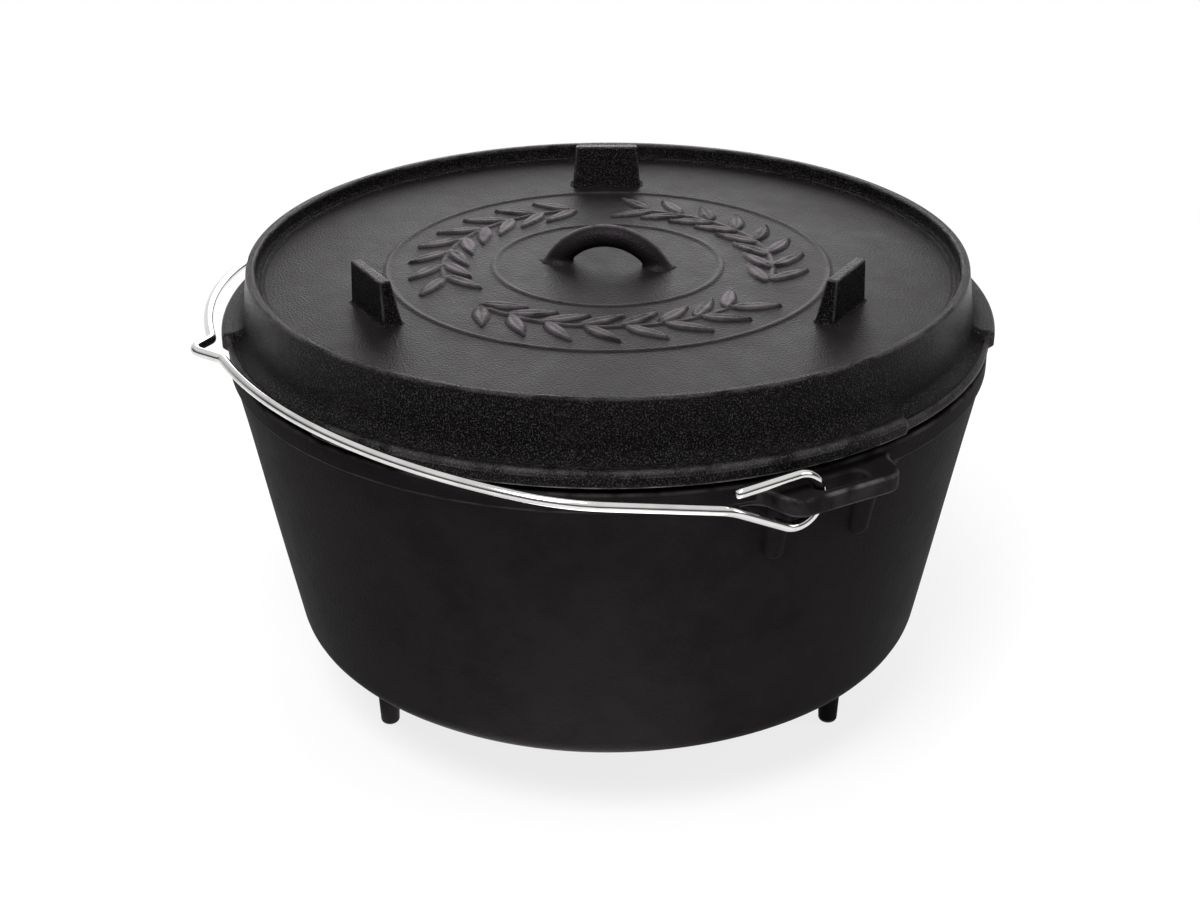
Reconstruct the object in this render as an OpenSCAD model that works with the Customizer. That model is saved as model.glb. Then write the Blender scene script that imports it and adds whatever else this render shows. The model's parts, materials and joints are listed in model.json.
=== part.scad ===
// Camp dutch oven: a cast pot on three legs, a cast lid with a rim for coals, and a bent wire bail.
// Millimetres. The origin is on the ground under the pot's axis, +X runs through the ears, +Z is up.

/* [Pot] */
// Diameter over the rim band
rim_d = 400; // [360:1:440]
// Diameter at the underside, before the corner is rounded
base_d = 342; // [310:1:370]
// Height from the underside to the top of the rim
pot_h = 163.5; // [130:0.5:200]
// Thickness of the side wall
wall = 6; // [4:0.5:9]
// Thickness of the bottom
bottom_t = 7; // [5:0.5:10]
// Radius of the corner outside, between wall and underside
corner_r = 13; // [6:0.5:24]
// Radius of the corner inside, between wall and bottom
inner_corner_r = 18; // [8:0.5:40]
// Height of the rim band
band_h = 11; // [6:0.5:18]
// How far the rim band stands proud of the wall
band_proud = 1.5; // [0.5:0.1:3]
// Radius on the edges of the rim
rim_edge_r = 1.6; // [0.5:0.1:2.5]

/* [Legs] */
// Height of the legs, which is the room for coals under the pot
leg_h = 45.5; // [25:0.5:70]
// Diameter of the circle that the legs stand on
leg_circle_d = 278; // [220:1:300]
// Diameter of a leg under the pot
leg_top_d = 14; // [10:0.5:22]
// Diameter of a leg at its tip
leg_tip_d = 10; // [8:0.5:14]
// Radius of the edge of the tip, round a small flat
leg_tip_r = 2.5; // [1:0.1:3.5]
// Radius of the fillet between leg and pot
leg_fillet_r = 5; // [2:0.5:9]

/* [Ears] */
// Thickness of an ear
ear_t = 9; // [6:0.5:14]
// Depth of the ear's top below the top of the rim
ear_drop = 3.5; // [0:0.5:8]
// Length of the slot that the bail hooks through
slot_l = 29; // [26:0.5:44]
// Width of the slot
slot_w = 8.6; // [7:0.1:14]
// Metal between the rim band and the slot
slot_inset = 3.4; // [2:0.1:8]
// Thickness of the bar outside the slot
bar_t = 5.2; // [4:0.1:10]
// Width of the web between the slot's end and the side of the ear
web_w = 17.5; // [10:0.5:24]
// Splay of the ear's sides, wider at the pot
ear_splay = 16; // [5:1:30]
// Radius of the ear's outer corners
ear_corner_r = 10; // [3:0.5:12]
// Distance between the two ribs under an ear
rib_pitch = 50; // [36:1:60]
// Length of a rib below the ear
rib_l = 32; // [14:1:40]
// Diameter of a rib under the ear
rib_top_d = 14; // [8:0.5:18]
// Diameter of a rib at its lower end
rib_end_d = 10; // [6:0.5:14]

/* [Lid] */
// Height of the lid's top edge above the pot's rim
lid_h = 41; // [32:0.5:60]
// Diameter over the lid's top edge
lid_top_d = 376; // [350:1:378]
// Thickness of the lid's top edge
lid_edge_t = 4.6; // [3:0.1:8]
// Depth of the tray for coals, from the top edge to the floor
tray_depth = 9; // [6:0.5:16]
// Width of the step round the tray's floor
tray_step_w = 3; // [2:0.5:10]
// Height of the step round the tray's floor
tray_step_h = 1.6; // [1:0.1:4]
// Rise of the floor towards the middle
dome = 1; // [0:0.1:6]
// Thickness of the lid's floor
lid_floor_t = 6; // [4:0.5:9]
// Depth of the spigot inside the pot
spigot_h = 8; // [4:0.5:14]
// Thickness of the lid's wall at the spigot
spigot_t = 5.5; // [4:0.5:8]
// Diameter over the plain flange
flange_d = 401; // [396:1:402]
// Height of the plain flange's top above the pot's rim
flange_h = 8; // [7:0.1:10]
// Diameter over the raised ledges
ledge_d = 406; // [403:1:410]
// Height of a ledge's top above the pot's rim
ledge_h = 12; // [11:0.1:16]
// Angle that each of the three gaps between the ledges takes
gap_angle = 33; // [15:1:60]
// Height of the chamfer under the flange, the shadow line over the rim
chamfer_h = 4; // [1:0.1:6]
// Width of the chamfer under the flange
chamfer_w = 4.5; // [1:0.1:6]
// Radius of the cove between flange and lid wall
cove_r = 6; // [2:0.5:10]

/* [Lid feet and loop] */
// Radius from the lid's axis to the outer face of a foot
foot_face_r = 138; // [120:0.5:165]
// Height of a foot's top above the lid's top edge
foot_over = 14; // [8:0.5:20]
// Width of a foot at its root
foot_root_w = 40; // [28:0.5:50]
// Width of a foot at its top
foot_top_w = 35.5; // [20:0.5:44]
// Thickness of a foot at its root
foot_root_t = 11; // [8:0.5:18]
// Thickness of a foot at its top
foot_top_t = 5.8; // [4:0.1:10]
// Diameter of the loop handle's bar
loop_d = 11.7; // [8:0.1:15]
// Span of the loop between the middles of its two roots
loop_span = 54; // [44:1:76]
// Height of the loop's crown above the lid's top edge
loop_over = 13; // [8:0.5:20]
// Direction of the loop, from the ears' line
loop_angle = 50; // [0:1:180]

/* [Bail] */
// Diameter of the wire
wire_d = 5; // [4:0.1:6.5]
// Angle at which the bail lies above the level
bail_tilt = 7; // [5:0.5:20]
// Distance from the pivot to the bend where hook and bow meet
neck_l = 36; // [28:0.5:48]
// Bend radius where the neck turns into the bow
neck_r = 18; // [6:1:24]
// Length of the straight tail of a hook
tail_l = 33; // [22:0.5:38]
// Angle by which the tail leans down towards the bow
tail_lean = 9; // [0:1:14]
// How much the bow's arc is wider than the lid's ledges, in radius
bow_ease = 35; // [0:1:60]
// Half the angle of the bow's arc
bow_half_angle = 44; // [16:1:50]
// Length of wire past the arc's end to the corner of a shoulder
shoulder_l = 20; // [12:0.5:100]
// Radius of the shoulder bends
shoulder_r = 60; // [20:1:200]
// Width of the hanging kink
kink_w = 28; // [18:0.5:40]
// Depth of the hanging kink
kink_depth = 12.5; // [8:0.5:24]
// Distance of the kink from the bow's middle, along the bow
kink_shift = 38; // [0:1:60]
// Radius of the small bends in the wire
bend_r = 6; // [4.5:0.5:9]

/* [Clearances] */
// Gap between the lid's seat and the rim it lies on
seat_gap = 0.2; // [0.1:0.05:1]
// Gap round the spigot inside the pot
spigot_gap = 1.2; // [0.5:0.1:3]
// Play between a hook and the corners of the web it goes round
hook_play = 0.5; // [0.4:0.1:3]
// Gap between the lying bail and the lid's ledges
bow_gap = 1.8; // [0.5:0.1:6]

/* [Hidden] */
$fn = 128;
leg_count = 3;
first_leg = 30;
cut_past = 5;
arc_steps = 8;
wire_sides = 12;
ring_turn = 15;
ring_pitch = 22;
iron = [0.17, 0.16, 0.165];
steel = [0.80, 0.80, 0.79];

rim_r = rim_d / 2;
base_r = base_d / 2;
rim_z = leg_h + pot_h;
band_z = rim_z - band_h;
wall_slope = (rim_r - band_proud - base_r) / (pot_h - band_h);
wall_lean = atan(wall_slope);

ear_top_z = rim_z - ear_drop;
hinge_z = ear_top_z - ear_t / 2;
lid_reach = max(flange_d, ledge_d) / 2;
slot_r = max(rim_r + slot_inset + slot_w / 2, lid_reach + bow_gap + wire_d / 2);
ear_out = slot_r + slot_w / 2 + bar_t;
ear_half_w = slot_l / 2 + web_w;
pivot_y = slot_l / 2 + web_w / 2;

seat_z = rim_z + seat_gap;
lid_z = rim_z + lid_h;
lid_top_r = lid_top_d / 2;
tray_z = lid_z - tray_depth;
spigot_z = seat_z - spigot_h;
spigot_r = inner_r(spigot_z) - spigot_gap;
under_r = spigot_r - spigot_t;
tray_r = lid_top_r - lid_edge_t;
foot_top_z = lid_z + foot_over;

hook_r = norm([web_w, ear_t]) / 2 + hook_play + wire_d / 2;
neck_angle = asin(hook_r / neck_l);
bow_r = lid_reach + bow_ease;
bow_reach = (lid_reach + bow_gap + wire_d / 2 - pivot_y) / cos(bail_tilt);
bow_centre = bow_reach - bow_r;

// Radius of the pot's wall outside and inside at a height
function wall_r(z) = base_r + (z - leg_h) * wall_slope;
function inner_r(z) = wall_r(z) - wall;

function unit(v) = v / norm(v);
function polar(r, a) = r * [cos(a), sin(a)];

// Arc that rounds corner b between its neighbours a and c
function round_corner(a, b, c, r) =
    let (u = unit(a - b), v = unit(c - b), half = acos(u * v) / 2)
    let (p = b + u * r / tan(half), o = b + unit(u + v) * r / sin(half))
    let (e = unit(p - o), f = unit(o - b), turn = 90 - half)
    let (side = sign(cross(e, -f)))
    [for (i = [0:arc_steps])
        let (s = side * 2 * turn * i / arc_steps)
        o + r * [e.x * cos(s) - e.y * sin(s), e.x * sin(s) + e.y * cos(s)]];

// Outline from corners [x, y, radius], where a radius of 0 leaves the corner sharp
function outline(corners) =
    let (n = len(corners), pts = [for (c = corners) [c.x, c.y]])
    [for (i = [0:n - 1])
        each corners[i].z == 0 ? [pts[i]]
            : round_corner(pts[(i + n - 1) % n], pts[i], pts[(i + 1) % n], corners[i].z)];

module revolve(corners, angle = 360) {
    rotate_extrude(angle = angle) polygon(outline(corners));
}

module around_legs() {
    for (i = [0:leg_count - 1])
        rotate([0, 0, first_leg + i * 360 / leg_count]) children();
}

// Pot: a revolved shell with its rim band, three legs and two slotted ears, cast in one piece

module pot_outside() {
    revolve([
        [0, leg_h, 0],
        [base_r, leg_h, corner_r],
        [rim_r - band_proud, band_z, band_proud],
        [rim_r, band_z + band_proud, band_proud / 2],
        [rim_r, rim_z, rim_edge_r],
        [0, rim_z, 0]
    ]);
}

module pot_inside() {
    floor_z = leg_h + bottom_t;
    mouth_r = inner_r(rim_z);
    revolve([
        [0, floor_z, 0],
        [inner_r(floor_z), floor_z, inner_corner_r],
        [inner_r(rim_z - rim_edge_r), rim_z - rim_edge_r, 0],
        [mouth_r + rim_edge_r, rim_z, 0],
        [mouth_r + rim_edge_r, rim_z + cut_past, 0],
        [0, rim_z + cut_past, 0]
    ]);
}

module leg() {
    revolve([
        [0, 0, 0],
        [leg_tip_d / 2, 0, leg_tip_r],
        [leg_top_d / 2, leg_h - leg_fillet_r, leg_fillet_r],
        [leg_top_d / 2 + leg_fillet_r, leg_h, 0],
        [leg_top_d / 2 + leg_fillet_r, leg_h + bottom_t / 2, 0],
        [0, leg_h + bottom_t / 2, 0]
    ]);
}

module slot() {
    end = slot_l / 2 - slot_w / 2;
    for (side = [-1, 1])
        translate([slot_r, side * end, -cut_past]) cylinder(d = slot_w, h = ear_t + 2 * cut_past);
    translate([slot_r - slot_w / 2, -end, -cut_past]) cube([slot_w, 2 * end, ear_t + 2 * cut_past]);
}

module ear_plate() {
    root = inner_r(band_z) + wall / 2;
    root_w = ear_half_w + (slot_r - root) * tan(ear_splay);
    tip_w = ear_half_w - (ear_out - slot_r) * tan(ear_splay);
    linear_extrude(ear_t)
        polygon(outline([
            [root, -root_w, 0],
            [ear_out, -tip_w, ear_corner_r],
            [ear_out, tip_w, ear_corner_r],
            [root, root_w, 0]
        ]));
}

module rib() {
    translate([wall_r(hinge_z), 0, hinge_z]) rotate([0, 180 + wall_lean, 0]) {
        cylinder(d1 = rib_top_d, d2 = rib_end_d, h = rib_l);
        translate([0, 0, rib_l]) sphere(d = rib_end_d);
    }
}

module ear() {
    rib_angle = asin(rib_pitch / 2 / wall_r(hinge_z));
    translate([0, 0, ear_top_z - ear_t]) difference() {
        ear_plate();
        slot();
    }
    for (side = [-1, 1]) rotate([0, 0, side * rib_angle]) rib();
}

module pot() {
    color(iron) difference() {
        union() {
            pot_outside();
            around_legs() translate([leg_circle_d / 2, 0, 0]) leg();
            for (a = [0, 180]) rotate([0, 0, a]) ear();
        }
        pot_inside();
    }
}

// Lid: a revolved pan with a spigot below, a stepped flange, a coal rim, three feet and a loop

module lid_outside() {
    flange_top = rim_z + flange_h;
    revolve([
        [0, spigot_z, 0],
        [spigot_r, spigot_z, rim_edge_r],
        [spigot_r, seat_z, 0],
        [flange_d / 2 - chamfer_w, seat_z, 0],
        [flange_d / 2, seat_z + chamfer_h, rim_edge_r / 2],
        [flange_d / 2, flange_top, rim_edge_r],
        [spigot_r, flange_top, cove_r],
        [lid_top_r, lid_z, rim_edge_r],
        [tray_r, lid_z, rim_edge_r],
        [tray_r, tray_z + tray_step_h, tray_step_h],
        [tray_r - tray_step_w, tray_z + tray_step_h, tray_step_h / 3],
        [tray_r - tray_step_w - tray_step_h, tray_z, tray_step_h / 3],
        [0, tray_z + dome, 0]
    ]);
}

module lid_underside() {
    roof_z = tray_z - lid_floor_t;
    revolve([
        [0, spigot_z - cut_past, 0],
        [under_r, spigot_z - cut_past, 0],
        [under_r, roof_z, inner_corner_r / 2],
        [0, roof_z + dome, 0]
    ]);
}

module ledge() {
    span = 360 / leg_count - gap_angle;
    ledge_top = rim_z + ledge_h;
    rotate([0, 0, gap_angle / 2]) revolve([
        [under_r, seat_z + chamfer_h, 0],
        [ledge_d / 2, seat_z + chamfer_h, rim_edge_r / 2],
        [ledge_d / 2, ledge_top, rim_edge_r],
        [spigot_r, ledge_top, cove_r],
        [under_r, tray_z, 0]
    ], span);
}

module foot() {
    root_z = tray_z - lid_floor_t / 2;
    inner_root = foot_face_r - foot_root_t;
    inner_top = foot_face_r - foot_top_t;
    intersection() {
        translate([0, foot_root_w / 2, 0]) rotate([90, 0, 0]) linear_extrude(foot_root_w)
            polygon([[inner_root, root_z], [foot_face_r, root_z],
                     [foot_face_r, foot_top_z], [inner_top, foot_top_z]]);
        translate([inner_root, 0, 0]) rotate([90, 0, 90]) linear_extrude(foot_root_t)
            polygon([[-foot_root_w / 2, root_z], [foot_root_w / 2, root_z],
                     [foot_top_w / 2, foot_top_z], [-foot_top_w / 2, foot_top_z]]);
    }
}

module loop() {
    floor_z = tray_z + dome;
    rise = lid_z + loop_over - loop_d / 2 - floor_z;
    arch_r = (pow(loop_span / 2, 2) + pow(rise, 2)) / (2 * rise);
    sunk = lid_floor_t / 2;
    half = acos((arch_r - rise - sunk) / arch_r);
    rotate([90, 0, loop_angle]) translate([0, floor_z + rise - arch_r, 0])
        rotate([0, 0, 90 - half]) rotate_extrude(angle = 2 * half)
            translate([arch_r, 0]) circle(d = loop_d, $fn = 48);
}

module lid() {
    color(iron) difference() {
        union() {
            lid_outside();
            around_legs() {
                ledge();
                foot();
            }
        }
        lid_underside();
    }
}

// The loop is cast with the lid; here it stands face to face on the tray's floor
module tray_floor() {
    edge_r = tray_r - tray_step_w - tray_step_h;
    low_z = tray_z - lid_floor_t;
    revolve([[0, low_z, 0], [edge_r, low_z, 0], [edge_r, tray_z, 0], [0, tray_z + dome, 0]]);
}

module lid_loop() {
    color(iron) difference() {
        loop();
        tray_floor();
    }
}

// Bail: one wire bent to a hook at each end and a bow between them, with a kink to hang it by

// Corners [point, bend radius] of one hook, from the end of its tail to its neck
function hook(side) =
    let (first = 90 - tail_lean, last = 270 + neck_angle, bends = 3)
    let (step = (last - first) / bends)
    let (tail = polar(hook_r, first) + polar(tail_l, -tail_lean))
    [
        [[side * slot_r, tail.x, tail.y], 0],
        for (i = [0:bends - 1])
            let (p = polar(hook_r / cos(step / 2), first + (i + 0.5) * step))
            [[side * slot_r, p.x, p.y], hook_r],
        [[side * slot_r, neck_l, 0], neck_r]
    ];

// Point on the bow's arc, and the way along it, at an angle from its middle
function bow_at(a) = [bow_r * sin(a), bow_centre + bow_r * cos(a), 0];
function bow_way(a) = [cos(a), -sin(a), 0];

// Corners of one half of the bow, from its shoulder to the kink
function half_bow(side) =
    let (per_mm = 180 / PI / bow_r, lead = 2 * bend_r)
    let (end = side * bow_half_angle)
    let (near = (kink_shift + side * (kink_w / 2 + lead)) * per_mm)
    let (middle = (end + near) / 2, half = abs(end - near) / 2)
    [
        [bow_at(end) + side * shoulder_l * bow_way(end), shoulder_r],
        [[0, bow_centre, 0] + bow_r / cos(half) * [sin(middle), cos(middle), 0], bow_r],
        [bow_at(near) - side * lead * bow_way(near), bend_r]
    ];

function reverse(list) = [for (i = [len(list) - 1:-1:0]) list[i]];

function kink_tip() =
    let (a = kink_shift * 180 / PI / bow_r)
    [[bow_at(a) + kink_depth * [sin(a), cos(a), 0], bend_r]];

function bail_path() = concat(
    hook(-1), half_bow(-1), kink_tip(), reverse(half_bow(1)), reverse(hook(1)));

// Middle line of the wire at one corner: the corner itself at an end, and an arc at a bend
function bend_points(path, i) =
    i == 0 || i == len(path) - 1 ? [path[i][0]]
        : let (u = unit(path[i][0] - path[i - 1][0]), v = unit(path[i + 1][0] - path[i][0]))
          let (turn = acos(u * v), r = path[i][1], inward = unit(v - u * (u * v)))
          let (o = path[i][0] - u * r * tan(turn / 2) + inward * r)
          let (steps = ceil(max(turn / ring_turn, turn * PI / 180 * r / ring_pitch)))
          [for (k = [0:steps]) o + r * (u * sin(turn * k / steps) - inward * cos(turn * k / steps))];

function wire_line(path) = [for (i = [0:len(path) - 1]) each bend_points(path, i)];

// Directions of a line at its points, and a side vector carried along it without twist
function ways(line) =
    [for (i = [0:len(line) - 1])
        unit(line[min(i + 1, len(line) - 1)] - line[max(i - 1, 0)])];
function carried(way, side) = unit(side - way * (way * side));
function sides(way, side, i = 0) =
    i == len(way) ? []
        : let (here = carried(way[i], side)) concat([here], sides(way, here, i + 1));

// Round wire along a line, closed by a flat face at each end
module wire(line, d) {
    way = ways(line);
    out = sides(way, [1, 0, 0]);
    rings = len(line);
    n = wire_sides;
    points = [for (i = [0:rings - 1], k = [0:n - 1])
        let (a = 360 * k / n)
        line[i] + d / 2 * (out[i] * cos(a) + cross(way[i], out[i]) * sin(a))];
    skin = [for (i = [0:rings - 2], k = [0:n - 1], half = [0, 1])
        let (a = i * n + k, b = i * n + (k + 1) % n)
        half == 0 ? [a, a + n, b] : [b, a + n, b + n]];
    near_end = [for (k = [1:n - 2]) [0, k, k + 1]];
    last = (rings - 1) * n;
    far_end = [for (k = [1:n - 2]) [last, last + k + 1, last + k]];
    polyhedron(points, concat(skin, near_end, far_end), convexity = 8);
}

module bail() {
    color(steel) translate([0, -pivot_y, hinge_z]) rotate([-bail_tilt, 0, 0]) rotate([0, 0, 180])
        wire(wire_line(bail_path()), wire_d);
}

pot();
lid();
lid_loop();
bail();
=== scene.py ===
import json
import math
import bpy
import numpy as np
from mathutils import Matrix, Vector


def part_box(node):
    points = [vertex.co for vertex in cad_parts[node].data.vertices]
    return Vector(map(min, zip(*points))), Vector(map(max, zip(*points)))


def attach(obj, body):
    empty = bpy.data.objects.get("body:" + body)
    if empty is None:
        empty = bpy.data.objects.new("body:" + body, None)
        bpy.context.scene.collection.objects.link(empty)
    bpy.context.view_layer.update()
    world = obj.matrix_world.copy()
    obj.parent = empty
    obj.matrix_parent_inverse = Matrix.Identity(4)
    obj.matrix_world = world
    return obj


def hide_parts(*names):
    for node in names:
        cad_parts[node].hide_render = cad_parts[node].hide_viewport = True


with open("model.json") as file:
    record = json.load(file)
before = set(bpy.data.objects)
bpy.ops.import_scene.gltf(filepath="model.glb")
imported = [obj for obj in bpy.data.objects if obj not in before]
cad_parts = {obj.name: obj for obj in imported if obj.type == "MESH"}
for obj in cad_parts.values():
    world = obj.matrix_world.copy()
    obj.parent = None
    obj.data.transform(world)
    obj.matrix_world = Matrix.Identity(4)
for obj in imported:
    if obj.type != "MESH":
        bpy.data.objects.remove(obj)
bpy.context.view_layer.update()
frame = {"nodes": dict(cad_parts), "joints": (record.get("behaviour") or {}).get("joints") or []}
print("frame:", sorted(frame["nodes"]))

mm = 0.001  # shapes are worked out in millimetres and stored in metres
potLow, potHigh = [np.array(c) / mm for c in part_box("pot")]
lidLow, lidHigh = [np.array(c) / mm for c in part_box("lid")]
hinge = next(j for j in frame["joints"] if j["type"] == "hinge")
thirds = np.radians([30, 150, 270])  # where legs, lid feet and flange gaps stand
earTurns = np.radians([0, 180])


# Lines, grids and meshes

def unit(v):
    return v / np.linalg.norm(v, axis=-1, keepdims=True)


def smooth(t):
    t = np.clip(t, 0, 1)
    return t * t * (3 - 2 * t)


def archOf(count, ends=0.2):
    # wear across a rounded edge: highest in the middle
    return np.sin(np.linspace(ends, math.pi - ends, count))


def straightCuts(corners, step):
    # number of pieces for each straight of a line with these corners
    points = np.array(corners)[:, :2]
    return np.ceil(np.linalg.norm(np.diff(points, axis=0), axis=1) / step).astype(int)


def roundedLine(corners, cuts, arcSteps=7, hold=0.4, narrowR=3):
    # corners (x, y, radius): each becomes an arc, each straight is cut into pieces with a point near its ends
    # also gives the wear of each point: narrow convex arcs of an anticlockwise line rub bright
    corners = np.array(corners, float)
    parts, wears = [], []
    for i, (x, y, r) in enumerate(corners):
        here = np.array([x, y])
        part, wear = here[None], np.zeros(1)
        if r > 0:
            u, v = unit(corners[i - 1, :2] - here), unit(corners[i + 1, :2] - here)
            half = math.acos(np.clip(u @ v, -1, 1)) / 2
            centre = here + unit(u + v) * r / math.sin(half)
            e = here + u * r / math.tan(half) - centre
            side = np.sign(u[1] * v[0] - u[0] * v[1])
            s = side * np.linspace(0, math.pi - 2 * half, arcSteps + 1)
            c, n = np.cos(s), np.sin(s)
            part = centre + np.stack([e[0] * c - e[1] * n, e[0] * n + e[1] * c], -1)
            bright = float(side > 0 and r < narrowR)
            wear = bright * archOf(len(part), 0.25)
        if parts:
            a, b = parts[-1][-1], part[0]
            near = min(hold / max(np.linalg.norm(b - a), 1e-6), 0.3)
            t = np.linspace(near, 1 - near, cuts[i - 1] + 1)[:, None]
            parts.append(a + (b - a) * t)
            wears.append(np.zeros(len(t)))
        parts.append(part)
        wears.append(wear)
    return np.concatenate(parts), np.concatenate(wears)


def closedOutline(corners, count):
    # closed anticlockwise outline with rounded corners: evenly spaced points and their outward normals
    middle = (np.array(corners[0][:2]) + corners[-1][:2]) / 2
    loop = [(*middle, 0), *corners, (*middle, 0)]
    line, _ = roundedLine(loop, straightCuts(loop, 1), arcSteps=16, hold=0.05)
    far = np.concatenate([[0], np.cumsum(np.linalg.norm(np.diff(line, axis=0), axis=1))])
    s = np.linspace(0, far[-1], count, endpoint=False)
    points = np.stack([np.interp(s, far, line[:, k]) for k in range(2)], -1)
    way = unit(np.roll(points, -1, axis=0) - np.roll(points, 1, axis=0))
    return points, np.stack([way[:, 1], -way[:, 0]], -1)


def circleTurns(count):
    return np.linspace(0, 2 * math.pi, count, endpoint=False)


def revolved(line, turns):
    # r and z of a line, turned to each of the angles: line is (points, 2) or (turns, points, 2)
    line = np.broadcast_to(line, (len(turns),) + line.shape[-2:])
    c, s = np.cos(turns)[:, None], np.sin(turns)[:, None]
    return np.stack([c * line[..., 0], s * line[..., 0], line[..., 1]], -1)


def turned(grid, angle):
    # a grid turned about the upright axis
    c, s = math.cos(angle), math.sin(angle)
    return grid @ np.array([[c, s, 0], [-s, c, 0], [0, 0, 1]])


def sweep(path, radius, sides, first):
    # round section carried along a path without twist, from a first side vector
    # radius may change along the path and round the section
    way = unit(np.gradient(path, axis=0))
    side, here = np.zeros_like(path), np.array(first, float)
    for i, w in enumerate(way):
        here = unit(here - w * (w @ here))
        side[i] = here
    up = np.cross(way, side)
    a = circleTurns(sides)[:, None, None]
    radius = np.broadcast_to(radius, (sides, len(path)))[..., None]
    return path + radius * (side * np.cos(a) + up * np.sin(a))


def gridFaces(around, along, ring, start):
    # quads of a grid that is closed around, and along too if it is a ring; otherwise a fan closes each end
    ids = start + np.arange(around * along).reshape(around, along)
    if ring:
        ids = np.concatenate([ids, ids[:, :1]], 1)
    after = np.roll(ids, -1, axis=0)
    quads = np.stack([ids[:, :-1], after[:, :-1], after[:, 1:], ids[:, 1:]], -1).reshape(-1, 4)
    if ring:
        return quads, np.zeros((0, 3), int)
    low = np.full(around, start + around * along)
    tris = [np.stack([after[:, 0], ids[:, 0], low], -1), np.stack([ids[:, -1], after[:, -1], low + 1], -1)]
    return quads, np.concatenate(tris)


def putMesh(name, grids, wears, ring=False, uvs=None, calm=None):
    # one object from grids (around, along, xyz), the wear of their points and how calm the cast grain is there
    verts, quads, tris, worn, start = [], [], [], [], 0
    for grid, wear in zip(grids, wears):
        around, along = grid.shape[:2]
        faces = gridFaces(around, along, ring, start)
        quads.append(faces[0])
        tris.append(faces[1])
        hubs = np.zeros((0, 3)) if ring else np.stack([grid[:, 0].mean(0), grid[:, -1].mean(0)])
        verts += [grid.reshape(-1, 3), hubs]
        worn += [np.broadcast_to(wear, (around, along)).ravel(), np.zeros(len(hubs))]
        start += around * along + len(hubs)
    verts, quads, tris = [np.concatenate(part) for part in (verts, quads, tris)]
    loops = np.concatenate([quads.ravel(), tris.ravel()]).astype(np.int32)
    starts = np.concatenate([np.arange(len(quads)) * 4, len(quads) * 4 + np.arange(len(tris)) * 3])
    mesh = bpy.data.meshes.new(name)
    mesh.vertices.add(len(verts))
    mesh.vertices.foreach_set("co", (verts * mm).astype(np.float32).ravel())
    mesh.loops.add(len(loops))
    mesh.loops.foreach_set("vertex_index", loops)
    mesh.polygons.add(len(starts))
    mesh.polygons.foreach_set("loop_start", starts.astype(np.int32))
    mesh.update(calc_edges=True)
    fields = {"wear": np.concatenate(worn)}
    if calm is not None:
        fields["calm"] = np.append(np.broadcast_to(calm, grids[0].shape[:2]), [0, 0])
    for field, values in fields.items():
        attribute = mesh.attributes.new(field, "FLOAT", "POINT")
        attribute.data.foreach_set("value", values.astype(np.float32))
    if uvs is not None:
        ends = [np.concatenate([uv.reshape(-1, 2), uv[:1, 0], uv[:1, -1]]) for uv in uvs]
        layer = mesh.uv_layers.new(name="along")
        layer.data.foreach_set("uv", np.concatenate(ends)[loops].astype(np.float32).ravel())
    mesh.validate()
    mesh.shade_smooth()
    piece = bpy.data.objects.new(name, mesh)
    bpy.context.scene.collection.objects.link(piece)
    print(name, len(mesh.polygons), "faces")
    return piece


# Cast pot: shell, legs, ears and ribs

potCast = dict(
    rimR=potHigh[1], baseR=171, underZ=45.5, rimZ=potHigh[2],
    bandH=11, bandProud=1.5, wall=6, bottom=7,
    cornerR=13, innerCornerR=18, edgeR=1.6, mouthR=0.5, lipR=0.8,
    step=5, aroundSteps=400, uneven=0.22, unevenFromR=60, unevenFade=30, wear=0.3,
)


def wallAt(z):
    # radius of the pot's outside at a height
    p = potCast
    slope = (p["rimR"] - p["bandProud"] - p["baseR"]) / (p["rimZ"] - p["bandH"] - p["underZ"])
    return p["baseR"] + (z - p["underZ"]) * slope


def swells(turns, z):
    # slow swells of a sand-cast wall: three waves that run round the axis and up it
    t, z = turns[:, None], z[None]
    return (np.sin(3 * t + 0.021 * z) + np.sin(5 * t - 0.034 * z + 1.3) + np.sin(8 * t + 0.05 * z + 4.1)) / 3


def makePotShell():
    p = potCast
    bandZ, floorZ = p["rimZ"] - p["bandH"], p["underZ"] + p["bottom"]
    mouth, lip = wallAt(p["rimZ"]) - p["wall"], p["rimZ"] - p["edgeR"]
    corners = [
        (0.01, p["underZ"], 0),
        (p["baseR"], p["underZ"], p["cornerR"]),
        (p["rimR"] - p["bandProud"], bandZ, p["bandProud"]),
        (p["rimR"], bandZ + p["bandProud"], p["bandProud"] / 2),
        (p["rimR"], p["rimZ"], p["edgeR"]),
        (mouth + p["edgeR"], p["rimZ"], p["mouthR"]),
        (wallAt(lip) - p["wall"], lip, p["lipR"]),
        (wallAt(floorZ) - p["wall"], floorZ, p["innerCornerR"]),
        (0.01, floorZ, 0),
    ]
    line, wear = roundedLine(corners, straightCuts(corners, p["step"]))
    turns = circleTurns(p["aroundSteps"])
    here = smooth(line[:, 0] / p["unevenFromR"] - 1) * smooth((bandZ - line[:, 1]) / p["unevenFade"])
    wave = p["uneven"] * swells(turns, line[:, 1]) * here
    line = np.stack([line[:, 0] + wave, np.broadcast_to(line[:, 1], wave.shape)], -1)
    return putMesh("pot_shell", [revolved(line, turns)], [wear * p["wear"]])


legCast = dict(
    circleR=139, topD=14, tipD=10, tipR=2.5, filletR=5, filletDrop=0.5, lipW=1, lipH=0.3, sunk=3,
    step=3, aroundSteps=40,
)


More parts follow.
